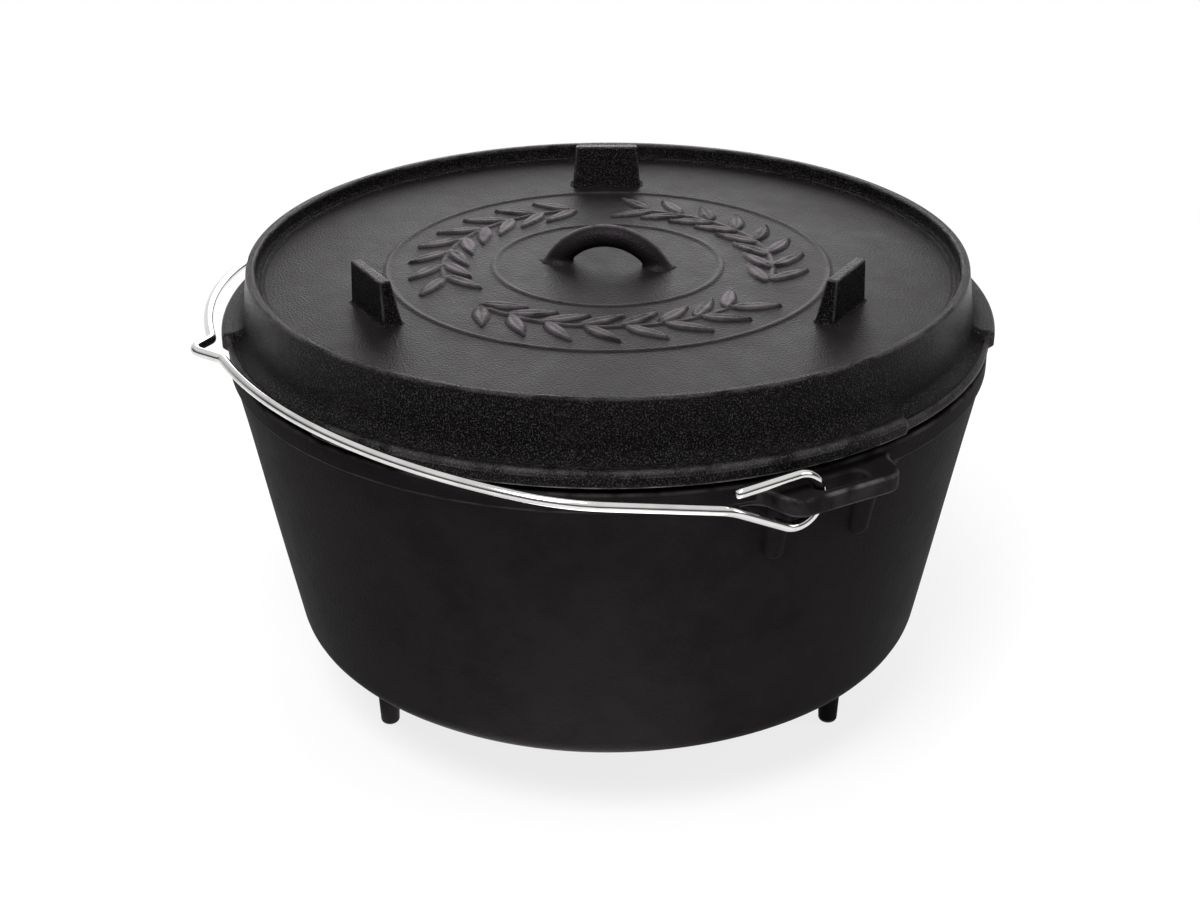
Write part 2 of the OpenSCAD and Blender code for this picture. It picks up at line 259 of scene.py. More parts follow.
def makePotLegs():
    p, under = legCast, potCast["underZ"]
    wide = p["topD"] / 2 + p["filletR"]
    corners = [
        (0.01, 0, 0),
        (p["tipD"] / 2, 0, p["tipR"]),
        (p["topD"] / 2, under - p["filletDrop"], p["filletR"]),
        (wide + p["lipW"], under + p["lipH"], 0),
        (wide, under + p["sunk"], 0),
        (0.01, under + p["sunk"], 0),
    ]
    line, wear = roundedLine(corners, straightCuts(corners, p["step"]))
    leg = revolved(line, circleTurns(p["aroundSteps"])) + [p["circleR"], 0, 0]
    return putMesh("pot_legs", [turned(leg, a) for a in thirds], [wear] * len(thirds))


earCast = dict(
    thick=9, drop=3.5, slotL=29, slotW=8.6, slotR=207.7, out=potHigh[0],
    webW=17.5, splay=16, cornerR=10, edgeR=1.7, filletR=10, filletRun=10, sunk=3, inset=0.8, tuckR=0.5,
    aroundSteps=300, slotSteps=1200, edgeSteps=6, faceSteps=7, slotWear=0.1, underWear=0.4, topWear=0.7,
)


def earEdge(outline, normal, face, way, edgeR, bend):
    # rounded edge of a plate: bend 0 is on the plate's side and a right angle on its face
    place = outline[:, None] - normal[:, None] * (edgeR * (1 - np.cos(bend)))[None, :, None]
    z = np.broadcast_to(face - way * edgeR * (1 - np.sin(bend)), place.shape[:2])
    return np.concatenate([place, z[..., None]], -1)


def alikeTurned(outer, fine, value, centreX):
    # values of a fine outline at the angles, about the slot's middle, that the points of an outer outline have
    angle, at = [np.arctan2(line[:, 1], line[:, 0] - centreX) for line in (fine, outer)]
    order = np.argsort(angle)
    return np.stack([np.interp(at, angle[order], value[order, k], period=2 * math.pi) for k in range(2)], -1)


def makePotEars():
    # each ear is a ring: a round-edged section carried once round the slot
    p = earCast
    top = potCast["rimZ"] - p["drop"]
    bottom = top - p["thick"]
    lean = math.tan(math.radians(p["splay"]))
    halfW, end, r = p["slotL"] / 2 + p["webW"], p["slotL"] / 2, p["slotW"] / 2
    band = potCast["rimR"] - p["inset"]
    tipW, wallW = halfW - (p["out"] - p["slotR"]) * lean, halfW + (p["slotR"] - band + p["sunk"]) * lean
    farW, tuckR = wallW + p["filletRun"], p["tuckR"]
    wallX, farX = [math.sqrt(band ** 2 - w ** 2) for w in (wallW, farW)]
    tuckX = farX - p["sunk"]
    outer, outNormal = closedOutline([
        (p["out"], -tipW, p["cornerR"]), (p["out"], tipW, p["cornerR"]),
        (wallX, wallW, p["filletR"]), (farX, farW, tuckR), (tuckX, farW - 1, tuckR),
        (tuckX, 1 - farW, tuckR), (farX, -farW, tuckR), (wallX, -wallW, p["filletR"])], p["aroundSteps"])
    near, far, round_ = p["slotR"] - r, p["slotR"] + r, r - 0.01
    fine, fineNormal = closedOutline([
        (far, -end, round_), (far, end, round_), (near, end, round_), (near, -end, round_)], p["slotSteps"])
    slot, slotNormal = [alikeTurned(outer, fine, value, p["slotR"]) for value in (fine, fineNormal)]
    bend = np.linspace(0, math.pi / 2, p["edgeSteps"])
    t = np.linspace(0.05, 0.95, p["faceSteps"])[None, :, None]
    parts = [
        earEdge(slot, -slotNormal, bottom, -1, p["edgeR"], bend),
        earEdge(outer, outNormal, bottom, -1, p["edgeR"], bend[::-1]),
        earEdge(outer, outNormal, top, 1, p["edgeR"], bend),
        earEdge(slot, -slotNormal, top, 1, p["edgeR"], bend[::-1]),
    ]
    under = parts[0][:, -1:] * (1 - t) + parts[1][:, :1] * t
    over = parts[2][:, -1:] * (1 - t) + parts[3][:, :1] * t
    ear = np.concatenate([parts[0], under, parts[1], parts[2], over, parts[3]], 1)
    edge, face = archOf(p["edgeSteps"]), np.zeros(p["faceSteps"])
    under, over, slotEdge = edge * p["underWear"], edge * p["topWear"], edge * p["slotWear"]
    wear = np.concatenate([slotEdge, face, under, over, face, slotEdge])
    return putMesh("pot_ears", [turned(ear, a) for a in earTurns], [wear] * len(earTurns), ring=True)


ribCast = dict(
    pitch=50, length=32, topD=14, endD=10, topR=0.5, endR=4.5, step=2.5, arcSteps=9, aroundSteps=32, wear=0.4,
)


def makePotRibs():
    p = ribCast
    z = hinge["pos_m"][2] / mm
    tip = p["length"] + p["endD"] / 2
    corners = [(0.01, 0, 0), (p["topD"] / 2, 0, p["topR"]), (p["endD"] / 2, tip, p["endR"]), (0.01, tip, 0)]
    line, wear = roundedLine(corners, straightCuts(corners, p["step"]), p["arcSteps"])
    drop = 100
    lean = math.atan((wallAt(z) - wallAt(z - drop)) / drop)
    axes = np.array([[math.cos(lean), 0, -math.sin(lean)], [0, -1, 0], [-math.sin(lean), 0, -math.cos(lean)]])
    rib = revolved(line, circleTurns(p["aroundSteps"])) @ axes + [wallAt(z), 0, z]
    spread = math.asin(p["pitch"] / 2 / wallAt(z))
    ribs = [turned(rib, a + s * spread) for a in earTurns for s in (-1, 1)]
    return putMesh("pot_ribs", ribs, [wear * p["wear"]] * len(ribs))


# Cast lid: shell, tray floor with its relief, feet and loop

lidCast = dict(
    spigotZ=lidLow[2], seatZ=potCast["rimZ"] + 0.2, topZ=250, topR=188, edgeT=4.6,
    trayDepth=9, stepW=3, stepH=1.6, dome=1, floorT=6, spigotT=5.5, spigotGap=1.2,
    flangeR=200.5, flangeZ=217, ledgeR=203, ledgeZ=221, gapDeg=33, gapBlendDeg=0.9,
    chamferH=4, chamferW=4.5, coveR=7, shoulderR=2.8, edgeR=1.6, hollowR=9, spigotEdgeR=1.2, seatR=0.6, chamferR=0.4,
    lapW=6.4, lapH=0.5, step=4, aroundSteps=380, gapSteps=15, uneven=0.2, unevenFade=10,
    # the shoulder share gives the flange's rounded shoulder rubbed colour that is partly wear and partly a painted
    # highlight band
    rimWear=0.3, shoulderWearAndHighlight=0.2, fullWearH=5,
)


def trayZ(r):
    # height of the tray's floor, which rises a little to the middle
    p = lidCast
    edge = p["topR"] - p["edgeT"] - p["stepW"] - p["stepH"]
    return p["topZ"] - p["trayDepth"] + p["dome"] * (1 - r / edge)


def lidCorners(flangeR, flangeZ):
    p = lidCast
    spigotR = wallAt(p["spigotZ"]) - potCast["wall"] - p["spigotGap"]
    underR, trayR = spigotR - p["spigotT"], p["topR"] - p["edgeT"]
    floorZ = p["topZ"] - p["trayDepth"]
    stepR = trayR - p["stepW"]
    return [
        (0.01, floorZ - p["floorT"] + p["dome"], 0),
        (underR, floorZ - p["floorT"], p["hollowR"]),
        (underR, p["spigotZ"], p["spigotEdgeR"]),
        (spigotR, p["spigotZ"], p["edgeR"]),
        (spigotR, p["seatZ"], p["seatR"]),
        (p["flangeR"] - p["chamferW"], p["seatZ"], p["chamferR"]),
        (flangeR, p["seatZ"] + p["chamferH"], p["edgeR"] / 2),
        (flangeR, flangeZ, p["shoulderR"]),
        (spigotR, flangeZ, p["coveR"]),
        (p["topR"], p["topZ"], p["edgeR"]),
        (trayR, p["topZ"], p["edgeR"]),
        (trayR, floorZ + p["stepH"], p["stepH"]),
        (stepR, floorZ + p["stepH"], p["stepH"] / 3),
        (stepR - p["stepH"], floorZ, p["stepH"] / 3),
        (stepR - p["lapW"], floorZ - p["lapH"], 0),
    ]


def lidTurns():
    # even angles round the lid, with closer ones where a ledge ends
    p = lidCast
    close = np.radians(np.linspace(-1, 1, p["gapSteps"])) * p["gapBlendDeg"]
    ends = [a + s * math.radians(p["gapDeg"] / 2) for a in thirds for s in (-1, 1)]
    even = circleTurns(p["aroundSteps"])
    away = np.min([np.abs((even - e + math.pi) % (2 * math.pi) - math.pi) for e in ends], 0)
    even = even[away > close[-1] * 1.2]
    return np.sort(np.concatenate([even] + [(e + close) % (2 * math.pi) for e in ends]))


def makeLidShell():
    p = lidCast
    plain, ledged = lidCorners(p["flangeR"], p["flangeZ"]), lidCorners(p["ledgeR"], p["ledgeZ"])
    cuts = np.maximum(straightCuts(plain, p["step"]), straightCuts(ledged, p["step"]))
    (low, wear), (high, _) = roundedLine(plain, cuts), roundedLine(ledged, cuts)
    turns = lidTurns()
    away = np.min([np.abs((turns - a + math.pi) % (2 * math.pi) - math.pi) for a in thirds], 0)
    share = smooth((np.degrees(away) - p["gapDeg"] / 2) / p["gapBlendDeg"] / 2 + 0.5)[:, None, None]
    line = low + (high - low) * share
    outside = smooth((low[:, 1] - p["ledgeZ"]) / p["unevenFade"]) * (low[:, 0] > p["topR"] - 1)
    wave = p["uneven"] * swells(turns + 0.7, low[:, 1]) * outside
    line = line + np.stack([wave, np.zeros_like(wave)], -1)
    calm = smooth((low[:, 0] - p["flangeR"]) / 2 + 2)  # the flange's outer edge is cast smoother than the wall
    # rubbed colour on the flange's rounded shoulder is partly edge wear and partly a painted highlight band along it
    levels = [low[:, 1] > p["ledgeZ"], low[:, 1] > p["seatZ"] + p["fullWearH"]]
    share = np.select(levels, [p["rimWear"], p["shoulderWearAndHighlight"]], 1)
    return putMesh("lid_shell", [revolved(line, turns)], [wear * share], calm=calm)


reliefCast = dict(
    sprigs=3, pairs=8, stemR=87, sweepDeg=98, stemW=3.0, stemH=1.1,
    leafL=25, leafW=9.5, leafH=1.5, leanDeg=38, rings=(60, 116), ringW=2.6, ringH=0.9,
    veinH=0.45, veinW=0.75, veinEnd=0.9, stemFade=0.12, stemThin=0.65, lastLeaf=0.86, stagger=0.03, leafGap=1.5,
)


def leafHeight(x, y, along, across, base):
    # domed leaf with a pointed tip and a vein: height falls to 0 at the edge
    p = reliefCast
    dx, dy = x - base[0], y - base[1]
    t = (dx * along[0] + dy * along[1]) / p["leafL"]
    q = dx * across[0] + dy * across[1]
    inside = (t > 0) & (t < 1)
    half = p["leafW"] / 2 * np.sin(math.pi * np.clip(t, 0, 1) ** 0.75) ** 0.85 + 1e-6
    edge = 1 - np.abs(q) / half
    vein = p["veinH"] * np.exp(-(q / p["veinW"]) ** 2) * (t < p["veinEnd"])
    return np.where(inside & (edge > 0), smooth(edge * 2.2) * p["leafH"] - vein * smooth(edge * 2), 0)


def reliefHeight(x, y):
    # a wreath of leaf sprigs between two raised rings
    p = reliefCast
    r, a = np.hypot(x, y), np.arctan2(y, x)
    height = np.zeros_like(x)
    for ringR in p["rings"]:
        height = np.maximum(height, p["ringH"] * np.sqrt(np.clip(1 - ((r - ringR) / p["ringW"] * 2) ** 2, 0, 1)))
    half = math.radians(p["sweepDeg"] / 2)
    for middle in thirds + math.pi / p["sprigs"]:
        away = (a - middle + math.pi) % (2 * math.pi) - math.pi
        thin = p["stemThin"] + (1 - p["stemThin"]) * smooth(0.5 - away / half / 2)
        taper = smooth((half - np.abs(away)) / p["stemFade"]) * thin
        stem = np.clip(1 - ((r - p["stemR"]) / p["stemW"] * 2) ** 2, 0, 1)
        height = np.maximum(height, p["stemH"] * np.sqrt(stem) * taper)
        for step in np.linspace(-half, half * p["lastLeaf"], p["pairs"]):
            for side in (-1, 1):
                here = middle + step + (p["stagger"] if side > 0 else 0)
                out, on = np.array([math.cos(here), math.sin(here)]), np.array([-math.sin(here), math.cos(here)])
                lean = math.radians(p["leanDeg"])
                along = on * math.cos(lean) + side * out * math.sin(lean)
                across = np.array([-along[1], along[0]])
                base = out * p["stemR"] + along * p["leafGap"]
                height = np.maximum(height, leafHeight(x, y, along, across, base))
    return height


trayCast = dict(aroundSteps=760, edgeR=179.4, sunk=1.4, fineStep=1.0, wideStep=3.5, margin=6, wear=0.55)


def makeLidTray():
    p, ring = trayCast, reliefCast["rings"]
    low, high = ring[0] - p["margin"], ring[1] + p["margin"]
    r = np.concatenate([
        [p["edgeR"]], np.arange(p["edgeR"] - 0.5, high, -p["wideStep"]),
        np.arange(high, low, -p["fineStep"]), np.arange(low, 3, -p["wideStep"]), [0.01]])
    turns = circleTurns(p["aroundSteps"])
    x, y = np.cos(turns)[:, None] * r, np.sin(turns)[:, None] * r
    height = reliefHeight(x, y)
    top = np.stack([x, y, trayZ(r) + height], -1)
    bottomR = np.array([0.01, p["edgeR"]])
    bottom = revolved(np.stack([bottomR, trayZ(bottomR * 0 + p["edgeR"]) - p["sunk"]], -1), turns)
    wear = p["wear"] * smooth(height / reliefCast["leafH"] * 1.3 - 0.3)  # only the relief's high parts
    wear = np.concatenate([np.zeros((len(turns), 2)), wear], 1)
    return putMesh("lid_tray", [np.concatenate([bottom, top], 1)], [wear])


footCast = dict(
    faceR=138, rootW=40, topW=35.5, rootT=11, topT=5.8, rootZ=238, topZ=lidHigh[2],
    cornerR=1.1, edgeR=1.0, leastR=0.3, flare=1.6, sunk=1.2, hold=0.4, arcSteps=7, sideSteps=8,
    wear=0.35, wearRise=4,
)


def roundRect(halfX, halfY, radius, arcSteps):
    # rounded rectangles, one for each level: (around, levels, 2)
    bend = np.linspace(0, math.pi / 2, arcSteps)[:, None]
    arcs = []
    for k, (sx, sy) in enumerate(((1, 1), (-1, 1), (-1, -1), (1, -1))):
        a = bend + k * math.pi / 2
        x, y = sx * (halfX - radius) + radius * np.cos(a), sy * (halfY - radius) + radius * np.sin(a)
        arcs.append(np.stack([x, y], -1))
    t = np.array([0.04, 0.2, 0.4, 0.6, 0.8, 0.96])[:, None, None]
    parts = []
    for k, arc in enumerate(arcs):
        parts += [arc, arc[-1] * (1 - t) + arcs[(k + 1) % 4][0] * t]
    wear = np.concatenate([archOf(arcSteps), np.zeros(len(t))])
    return np.concatenate(parts), np.tile(wear, len(arcs))


def makeLidFeet():
    # a tapered block: flared where it grows out of the floor, round at the top edge
    p = footCast
    floor = trayZ(p["faceR"] - p["rootT"] / 2)
    f, q, hold = p["flare"], p["edgeR"], p["hold"]
    bend = np.linspace(0, math.pi / 2, p["arcSteps"])
    side = np.linspace(floor + f + hold, p["topZ"] - q - hold, p["sideSteps"])
    z = np.concatenate([[floor - p["sunk"]], floor + f * (1 - np.cos(bend)), side, p["topZ"] - q * (1 - np.sin(bend))])
    grow = np.concatenate([[f], f * (1 - np.sin(bend)), 0 * side, -q * (1 - np.cos(bend))])
    up = (z - p["rootZ"]) / (p["topZ"] - p["rootZ"])
    thick = p["rootT"] + (p["topT"] - p["rootT"]) * up
    halfW = (p["rootW"] + (p["topW"] - p["rootW"]) * up) / 2
    radius = np.maximum(p["cornerR"] + grow, p["leastR"])
    section, wear = roundRect(thick / 2 + grow, halfW + grow, radius, p["arcSteps"])
    foot = np.concatenate([section, np.broadcast_to(z, section.shape[:2])[..., None]], -1)
    foot[..., 0] += p["faceR"] - thick / 2
    top = np.concatenate([np.zeros(len(z) - p["arcSteps"]), archOf(p["arcSteps"])])
    worn = np.maximum(wear[:, None] * smooth((z - floor - f) / p["wearRise"]), top)
    return putMesh("lid_feet", [turned(foot, a) for a in thirds], [worn * p["wear"]] * len(thirds))


loopCast = dict(
    barD=11.7, span=54, crownZ=263, turnDeg=50, flare=3.2, sunk=3, ridgeH=0.4, ridgeW=0.16, ridgeWear=0.9,
    alongSteps=72, sides=40,
)


def makeLidLoop():
    # round bar bent to an arch, with flared roots and a thin casting ridge along its crest
    p = loopCast
    r = p["barD"] / 2
    rise = p["crownZ"] - r - trayZ(0)
    archR = ((p["span"] / 2) ** 2 + rise ** 2) / (2 * rise)
    half = math.acos((archR - rise - p["sunk"]) / archR)
    a = np.linspace(half, -half, p["alongSteps"])
    path = np.stack([archR * np.sin(a), 0 * a, p["crownZ"] - r - archR + archR * np.cos(a)], -1)
    round_ = (circleTurns(p["sides"]) + math.pi) % (2 * math.pi) - math.pi
    ridge = p["ridgeH"] * np.exp(-(round_ / p["ridgeW"]) ** 2)
    bar = sweep(path, r + ridge[:, None] + 0 * a, p["sides"], (math.sin(half), 0, math.cos(half)))
    high = np.clip((bar[..., 2:] - trayZ(p["span"] / 2)) / p["flare"], 0, 1)
    bar[..., :2] += unit(bar - path)[..., :2] * p["flare"] * (1 - np.sqrt(1 - (1 - high) ** 2))
    wear = np.broadcast_to(p["ridgeWear"] * np.exp(-(round_ / p["ridgeW"] / 1.3) ** 2)[:, None], bar.shape[:2])
    return putMesh("lid_loop", [turned(bar, math.radians(p["turnDeg"]))], [wear])


# Bright wire bail

bailWire = dict(
    wireD=5, tiltDeg=7, neckL=36, neckR=18, tailL=33, leanDeg=9, play=0.5, ease=35, gap=1.8, halfAngleDeg=44,
    shoulderL=20, shoulderR=90, kinkW=28, kinkDepth=12.5, kinkShift=38, bendR=6, chamfer=0.5,
    sides=28, arcStep=1.6, straightStep=4,
)


def bentLine(corners, arcStep, straightStep):
    # corners (point, bend radius): each becomes an arc, and the straights between get points every few millimetres
    points, radii = np.array([c[0] for c in corners], float), [c[1] for c in corners]
    line = [points[:1]]
    for i in range(1, len(points)):
        if i < len(points) - 1:
            u, v = unit(points[i] - points[i - 1]), unit(points[i + 1] - points[i])
            turn, r = math.acos(np.clip(u @ v, -1, 1)), radii[i]
            inward = unit(v - u * (u @ v))
            centre = points[i] - u * r * math.tan(turn / 2) + inward * r
            s = np.linspace(0, turn, max(4, math.ceil(turn * r / arcStep)) + 1)[:, None]
            arc = centre + r * (u * np.sin(s) - inward * np.cos(s))
        else:
            arc = points[i:]
        gap = np.linalg.norm(arc[0] - line[-1][-1])
        steps = max(1, math.ceil(gap / straightStep))
        t = np.linspace(0, 1, steps + 1)[1:-1, None]
        line += [line[-1][-1] * (1 - t) + arc[0] * t, arc[int(gap < 0.01):]]
    return np.concatenate(line)


def bailCorners():
    # from the end of one hook round the bow to the end of the other, lying flat with the hinge along x
    p, e = bailWire, earCast
    pivotY = e["slotL"] / 2 + e["webW"] / 2
    hookR = math.hypot(e["webW"], e["thick"]) / 2 + p["play"] + p["wireD"] / 2
    bowR = lidCast["ledgeR"] + p["ease"]
    reach = (lidCast["ledgeR"] + p["gap"] + p["wireD"] / 2 - pivotY) / math.cos(math.radians(p["tiltDeg"]))
    bowY = reach - bowR

    def polar(r, deg):
        return r * np.array([math.cos(math.radians(deg)), math.sin(math.radians(deg))])

    def hook(side):
        first, last = 90 - p["leanDeg"], 270 + math.degrees(math.asin(hookR / p["neckL"]))
        step = (last - first) / 3
        tail = polar(hookR, first) + polar(p["tailL"], -p["leanDeg"])
        turns = [polar(hookR / math.cos(math.radians(step / 2)), first + (i + 0.5) * step) for i in range(3)]
        x = side * e["slotR"]
        return [((x, *tail), 0)] + [((x, *t), hookR) for t in turns] + [((x, p["neckL"], 0), p["neckR"])]

    def onBow(deg, r=bowR):
        return np.array([0, bowY, 0]) + r * np.array([math.sin(math.radians(deg)), math.cos(math.radians(deg)), 0])

    def alongBow(deg):
        return np.array([math.cos(math.radians(deg)), -math.sin(math.radians(deg)), 0])

    def halfBow(side):
        lead, end = 2 * p["bendR"], side * p["halfAngleDeg"]
        near = math.degrees((p["kinkShift"] + side * (p["kinkW"] / 2 + lead)) / bowR)
        half = math.radians(abs(end - near) / 2)
        return [
            (onBow(end) + side * p["shoulderL"] * alongBow(end), p["shoulderR"]),
            (onBow((end + near) / 2, bowR / math.cos(half)), bowR),
            (onBow(near) - side * lead * alongBow(near), p["bendR"]),
        ]

    kink = [(onBow(math.degrees(p["kinkShift"] / bowR), bowR + p["kinkDepth"]), p["bendR"])]
    return hook(-1) + halfBow(-1) + kink + halfBow(1)[::-1] + hook(1)[::-1]


def makeBail():
    p = bailWire
    flat = bentLine(bailCorners(), p["arcStep"], p["straightStep"])
    tilt = math.radians(p["tiltDeg"])
    along, rise = flat[:, 1], flat[:, 2]
    path = np.stack([-flat[:, 0], -along * math.cos(tilt) + rise * math.sin(tilt),
                     along * math.sin(tilt) + rise * math.cos(tilt)], -1) + np.array(hinge["pos_m"]) / mm
    far = np.concatenate([[0], np.cumsum(np.linalg.norm(np.diff(path, axis=0), axis=1))])
    keep = np.concatenate([[True], np.diff(far) > 1e-3])
    path, far = path[keep], far[keep]
    end = np.minimum(far, far[-1] - far)
    radius = p["wireD"] / 2 - p["chamfer"] * smooth(1 - end / p["chamfer"] / 2)
    wire = sweep(path, radius, p["sides"], (1, 0.1, 0.2))
    v = np.broadcast_to(np.arange(p["sides"])[:, None] / p["sides"], wire.shape[:2])
    u = np.broadcast_to(far * mm, wire.shape[:2])
    print("bail wire length", round(far[-1]), "mm")
    return putMesh("bail_wire", [wire], [np.zeros(1)], uvs=[np.stack([u, v], -1)])


# Finishes

class Tone:  # one shader socket, so that maths on it reads as an expression
    def __init__(self, tree, socket=None):
        self.tree, self.socket = tree, socket

    def node(self, kind, settings={}, values={}, out=0):
        made = self.tree.nodes.new("ShaderNode" + kind)
        for key, value in settings.items():
            setattr(made, key, value)
        for key, value in values.items():
            if isinstance(value, Tone):
                self.tree.links.new(value.socket, made.inputs[key])
            else:
                made.inputs[key].default_value = value
        return Tone(self.tree, made.outputs[out] if made.outputs else None)

    def maths(self, operation, a, b=0.0):
        return self.node("Math", {"operation": operation}, {0: a, 1: b})

    def __add__(self, other):
        return self.maths("ADD", self, other)

    def __sub__(self, other):
        return self.maths("SUBTRACT", self, other)

    def __rsub__(self, other):
        return self.maths("SUBTRACT", other, self)

    def __mul__(self, other):
        return self.maths("MULTIPLY", self, other)

    __radd__, __rmul__ = __add__, __mul__

    def between(self, low, high):  # 0 below low, 1 above high, eased between
        values = {"Value": self, "From Min": low, "From Max": high}
        return self.node("MapRange", {"interpolation_type": "SMOOTHSTEP"}, values)

    def noise(self, place, scale, detail=2.0, roughness=0.5):
        return self.node("TexNoise", {}, {"Vector": place, "Scale": scale, "Detail": detail, "Roughness": roughness})

    def blend(self, share, a, b):  # colour a where share is 0, b where it is 1
        return self.node("Mix", {"data_type": "RGBA"}, {0: share, 6: a, 7: b}, out=2)

    def bump(self, height, strength, distance, normal=None):
        values = {"Height": height, "Strength": strength, "Distance": distance}
        if normal:
            values["Normal"] = normal
        return self.node("Bump", {}, values)


def newFinish(name):
    material = bpy.data.materials.new(name)
    material.use_nodes = True
    material.node_tree.nodes.clear()
    return material, Tone(material.node_tree)


ironLook = dict(
    dark=(0.0018, 0.0016, 0.0017, 1), light=(0.0084, 0.0073, 0.008, 1), rubbedAndHighlight=(0.15, 0.143, 0.147, 1),
    mottle=24, patch=75, sand=1500, roughSpread=0.18, rubbedShare=0.7, tint=(1, 0.84, 0.95, 1),
    # the glint values place the painted glints: bright specks in the colour
    rubbedFrom=(0.3, 0.62), glintSand=(0.4, 0.65), glintPeel=(0.5, 0.66), glintLeast=0.4,
    cloudShare=0.6, lightFrom=(0.2, 0.8), calmRough=0.15, calmGrain=0.8,
)


def ironFinish(name, grain, grainDepth, sandDepth, baseRough, shine, pale=0.0, paintedGlints=0.0):
    # as-cast iron under seasoning: cloudy colour, grain like orange peel, fine sand, rubbed edges, and painted glints:
    # bright specks of rubbed colour that stand in for glints off the sand grains
    p = ironLook
    material, tone = newFinish(name)
    place = tone.node("TexCoord", out="Object")
    cloud = tone.noise(place, p["mottle"], 5, 0.6)
    patch = tone.noise(place, p["patch"], 3, 0.55)
    sand = tone.noise(place, p["sand"], 2, 0.6)
    peel = tone.noise(place, grain, 1.5, 0.45)
    wear, calm = [tone.node("Attribute", {"attribute_name": name}, out="Fac") for name in ("wear", "calm")]
    # rubbed colour on worn edges; on the lid flange's shoulder it is partly a painted highlight band
    rubbedAndHighlight = wear * patch.between(*p["rubbedFrom"]) * p["rubbedShare"]
    # painted glints: specks of the rubbed colour in the base colour stand in for glints off the sand grains
    paintedGlint = (p["glintLeast"] + sand.between(*p["glintSand"])) * peel.between(*p["glintPeel"]) * paintedGlints
    mixed = cloud * p["cloudShare"] + patch * (1 - p["cloudShare"])
    share = mixed.between(*p["lightFrom"]) + pale
    colour = tone.blend(rubbedAndHighlight + paintedGlint, tone.blend(share, p["dark"], p["light"]), p["rubbedAndHighlight"])
    spread = (patch - 0.5) * p["roughSpread"] + (cloud - 0.5) * p["roughSpread"]
    rough = baseRough + spread + calm * p["calmRough"]
    relief = (peel - 0.5) * (1 - calm * p["calmGrain"])
    normal = tone.bump(sand, 1.0, sandDepth, tone.bump(relief, 1.0, grainDepth))
    values = {"Base Color": colour, "Roughness": rough, "Metallic": rubbedAndHighlight, "IOR": shine,
              "Specular Tint": p["tint"], "Normal": normal}
    tone.node("OutputMaterial", {}, {"Surface": tone.node("BsdfPrincipled", {}, values)})
    return material


wireLook = dict(
    bright=(0.66, 0.65, 0.64, 1), dull=(0.46, 0.455, 0.45, 1), grey=60, greyFrom=(0.35, 0.75), greyShare=0.6,
    rough=0.08, lineRough=0.12, greyRough=0.08,
    stretch=(6.0, 10.0, 1.0), lines=2.0, lineStrength=0.15, lineDepth=0.00006,
)


def wireFinish():
    # drawn steel: fine lines along the wire, from noise stretched along its length
    p = wireLook
    material, tone = newFinish("bright_wire")
    uv = tone.node("UVMap", {"uv_map": "along"})
    stretched = tone.node("VectorMath", {"operation": "MULTIPLY"}, {0: uv, 1: p["stretch"]})
    lines = tone.noise(stretched, p["lines"], 3, 0.6)
    place = tone.node("TexCoord", out="Object")
    cloud = tone.noise(place, p["grey"], 3, 0.55)
    colour = tone.blend(cloud.between(*p["greyFrom"]) * p["greyShare"], p["bright"], p["dull"])
    rough = p["rough"] + (lines - 0.5) * p["lineRough"] + (cloud - 0.5) * p["greyRough"]
    normal = tone.bump(lines, p["lineStrength"], p["lineDepth"])
    values = {"Base Color": colour, "Roughness": rough, "Metallic": 1.0, "Normal": normal}
    tone.node("OutputMaterial", {}, {"Surface": tone.node("BsdfPrincipled", {}, values)})
    return material


# Pieces, each on its body

potShell = makePotShell()
lidShell = makeLidShell()
bailPiece = makeBail()
potPieces = [potShell, makePotLegs(), makePotEars(), makePotRibs()]
lidTray, lidLoop = makeLidTray(), makeLidLoop()
lidPieces = [lidShell, lidTray, lidLoop, makeLidFeet()]

potIron = ironFinish(
    "pot_iron", grain=480, grainDepth=0.0003, sandDepth=0.00006, baseRough=0.6, shine=1.09, pale=0.3)
# the lid's bright specks are painted glints
lidIron = ironFinish(
    "lid_iron", grain=1400, grainDepth=0.0014, sandDepth=0.00008, baseRough=0.22, shine=1.12, pale=-0.9, paintedGlints=0.17)
trayIron = ironFinish(
    "tray_iron", grain=900, grainDepth=0.00045, sandDepth=0.00006, baseRough=0.45, shine=1.16, pale=0.15)
dressed = ((potPieces, "pot", potIron), (lidPieces, "lid", lidIron), ([bailPiece], "bail", wireFinish()))
for pieces, body, finish in dressed:
    for piece in pieces:
        piece.data.materials.append(trayIron if piece in (lidTray, lidLoop) else finish)
        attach(piece, body)
        "steel_wire" if body == "bail" else "cast_iron"
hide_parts("pot")
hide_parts("lid")
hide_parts("lid_loop")
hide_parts("bail")
print("pieces placed")


# Camera at the photograph's angle

cameraView = dict(
    eye=(815.4, -475.9, 599.2), forward=(-0.7761, 0.4481, -0.4437), rollDeg=-0.2, focalPx=1902.9, widthPx=1200,
)


def makeCamera():
    p = cameraView
    forward = unit(np.array(p["forward"]))
    right = unit(np.cross(forward, (0, 0, 1)))
    up = np.cross(right, forward)
    roll = math.radians(p["rollDeg"])
    right, up = right * math.cos(roll) + up * math.sin(roll), up * math.cos(roll) - right * math.sin(roll)
    data = bpy.data.cameras.new("camera")
    data.sensor_width = 36
    data.lens = p["focalPx"] / p["widthPx"] * data.sensor_width
    data.clip_end = 50
    camera = bpy.data.objects.new("camera", data)
    matrix = np.eye(4)
    matrix[:3, :4] = np.stack([right, up, -forward, np.array(p["eye"]) * mm], -1)
    camera.matrix_world = Matrix(matrix.tolist())
    bpy.context.scene.collection.objects.link(camera)
    bpy.context.scene.camera = camera
    flat = unit(np.array([forward[0], forward[1], 0]))
    return np.array([right[0], right[1], 0]), -flat


viewRight, viewBack = makeCamera()


# Pale floor and soft studio light

